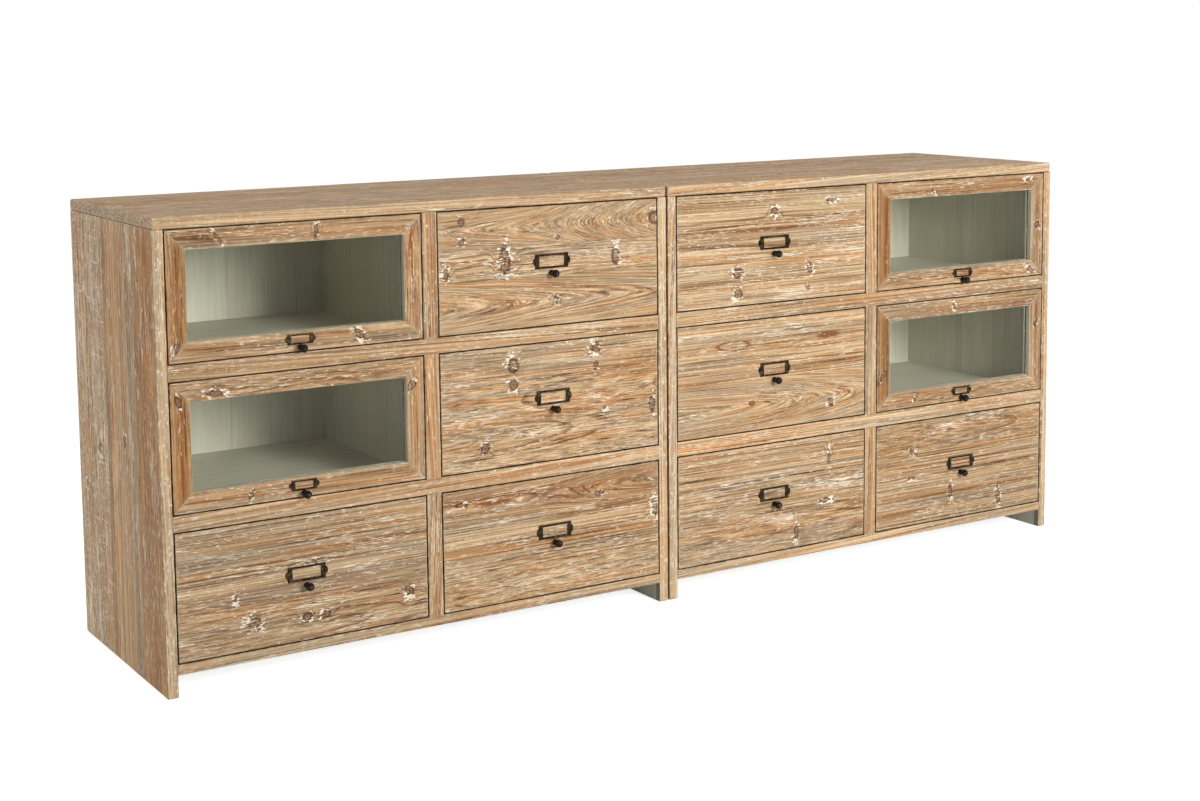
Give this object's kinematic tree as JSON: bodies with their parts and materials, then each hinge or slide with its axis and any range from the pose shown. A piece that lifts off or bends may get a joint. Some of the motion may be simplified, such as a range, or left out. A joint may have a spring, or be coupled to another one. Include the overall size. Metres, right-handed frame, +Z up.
{
  "type": "apothecary sideboard",
  "caption": "Long floor-standing apothecary sideboard in limed pine: mirrored units with sliding drawers, glazed lift-up flaps, card label holders and ball knobs.",
  "frame": {"origin": "on the floor, in the middle of the whole part's width and depth", "axes": "+X to the right along the front, +Y from the front to the back, +Z up"},
  "size_m": [2, 0.4648, 0.802],
  "materials": {
    "limed_pine": "wire-brushed reclaimed pine, limed, matt",
    "painted_pine": "pale grey-green matt paint on pine",
    "drawer_pine": "plain planed pine",
    "dark_bronze": "dark oil-rubbed bronze",
    "steel": "plain zinc-plated steel",
    "clear_glass": "clear window glass"
  },
  "bodies": {
    "case": {"left_top": "limed_pine", "left_sides": "limed_pine", "left_shelves": "limed_pine", "left_dividers": "limed_pine", "right_top": "limed_pine", "right_sides": "limed_pine", "right_shelves": "limed_pine", "right_dividers": "limed_pine", "back_panels": "painted_pine", "unit_bolts": "steel", "flap_pivots": "steel", "flap_stops": "painted_pine"},
    "left_outer_drawer": {"left_outer_drawer_front": "limed_pine", "left_outer_drawer_box": "drawer_pine", "left_outer_drawer_knob": "dark_bronze", "left_outer_drawer_label_holder": "dark_bronze"},
    "left_upper_drawer": {"left_upper_drawer_front": "limed_pine", "left_upper_drawer_box": "drawer_pine", "left_upper_drawer_knob": "dark_bronze", "left_upper_drawer_label_holder": "dark_bronze"},
    "left_middle_drawer": {"left_middle_drawer_front": "limed_pine", "left_middle_drawer_box": "drawer_pine", "left_middle_drawer_knob": "dark_bronze", "left_middle_drawer_label_holder": "dark_bronze"},
    "left_lower_drawer": {"left_lower_drawer_front": "limed_pine", "left_lower_drawer_box": "drawer_pine", "left_lower_drawer_knob": "dark_bronze", "left_lower_drawer_label_holder": "dark_bronze"},
    "left_upper_flap": {"left_upper_flap_frame": "limed_pine", "left_upper_flap_glass": "clear_glass", "left_upper_flap_knob": "dark_bronze", "left_upper_flap_label_holder": "dark_bronze"},
    "left_lower_flap": {"left_lower_flap_frame": "limed_pine", "left_lower_flap_glass": "clear_glass", "left_lower_flap_knob": "dark_bronze", "left_lower_flap_label_holder": "dark_bronze"},
    "right_outer_drawer": {"right_outer_drawer_front": "limed_pine", "right_outer_drawer_box": "drawer_pine", "right_outer_drawer_knob": "dark_bronze", "right_outer_drawer_label_holder": "dark_bronze"},
    "right_upper_drawer": {"right_upper_drawer_front": "limed_pine", "right_upper_drawer_box": "drawer_pine", "right_upper_drawer_knob": "dark_bronze", "right_upper_drawer_label_holder": "dark_bronze"},
    "right_middle_drawer": {"right_middle_drawer_front": "limed_pine", "right_middle_drawer_box": "drawer_pine", "right_middle_drawer_knob": "dark_bronze", "right_middle_drawer_label_holder": "dark_bronze"},
    "right_lower_drawer": {"right_lower_drawer_front": "limed_pine", "right_lower_drawer_box": "drawer_pine", "right_lower_drawer_knob": "dark_bronze", "right_lower_drawer_label_holder": "dark_bronze"},
    "right_upper_flap": {"right_upper_flap_frame": "limed_pine", "right_upper_flap_glass": "clear_glass", "right_upper_flap_knob": "dark_bronze", "right_upper_flap_label_holder": "dark_bronze"},
    "right_lower_flap": {"right_lower_flap_frame": "limed_pine", "right_lower_flap_glass": "clear_glass", "right_lower_flap_knob": "dark_bronze", "right_lower_flap_label_holder": "dark_bronze"}
  },
  "joints": [
    {"name": "left_outer_drawer_slide", "type": "slide", "parent": "case", "child": "left_outer_drawer", "axis": [0, -1, 0], "range_m": [0, 0.32]},
    {"name": "left_upper_drawer_slide", "type": "slide", "parent": "case", "child": "left_upper_drawer", "axis": [0, -1, 0], "range_m": [0, 0.32]},
    {"name": "left_middle_drawer_slide", "type": "slide", "parent": "case", "child": "left_middle_drawer", "axis": [0, -1, 0], "range_m": [0, 0.32]},
    {"name": "left_lower_drawer_slide", "type": "slide", "parent": "case", "child": "left_lower_drawer", "axis": [0, -1, 0], "range_m": [0, 0.32]},
    {"name": "left_upper_flap_hinge", "type": "hinge", "parent": "case", "child": "left_upper_flap", "pos_m": [-0.74825, -0.20463, 0.772], "axis": [-1, 0, 0], "range_deg": [0, 90]},
    {"name": "left_lower_flap_hinge", "type": "hinge", "parent": "case", "child": "left_lower_flap", "pos_m": [-0.74825, -0.20463, 0.52067], "axis": [-1, 0, 0], "range_deg": [0, 90]},
    {"name": "right_outer_drawer_slide", "type": "slide", "parent": "case", "child": "right_outer_drawer", "axis": [0, -1, 0], "range_m": [0, 0.32]},
    {"name": "right_upper_drawer_slide", "type": "slide", "parent": "case", "child": "right_upper_drawer", "axis": [0, -1, 0], "range_m": [0, 0.32]},
    {"name": "right_middle_drawer_slide", "type": "slide", "parent": "case", "child": "right_middle_drawer", "axis": [0, -1, 0], "range_m": [0, 0.32]},
    {"name": "right_lower_drawer_slide", "type": "slide", "parent": "case", "child": "right_lower_drawer", "axis": [0, -1, 0], "range_m": [0, 0.32]},
    {"name": "right_upper_flap_hinge", "type": "hinge", "parent": "case", "child": "right_upper_flap", "pos_m": [0.74825, -0.20463, 0.772], "axis": [-1, 0, 0], "range_deg": [0, 90]},
    {"name": "right_lower_flap_hinge", "type": "hinge", "parent": "case", "child": "right_lower_flap", "pos_m": [0.74825, -0.20463, 0.52067], "axis": [-1, 0, 0], "range_deg": [0, 90]}
  ]
}
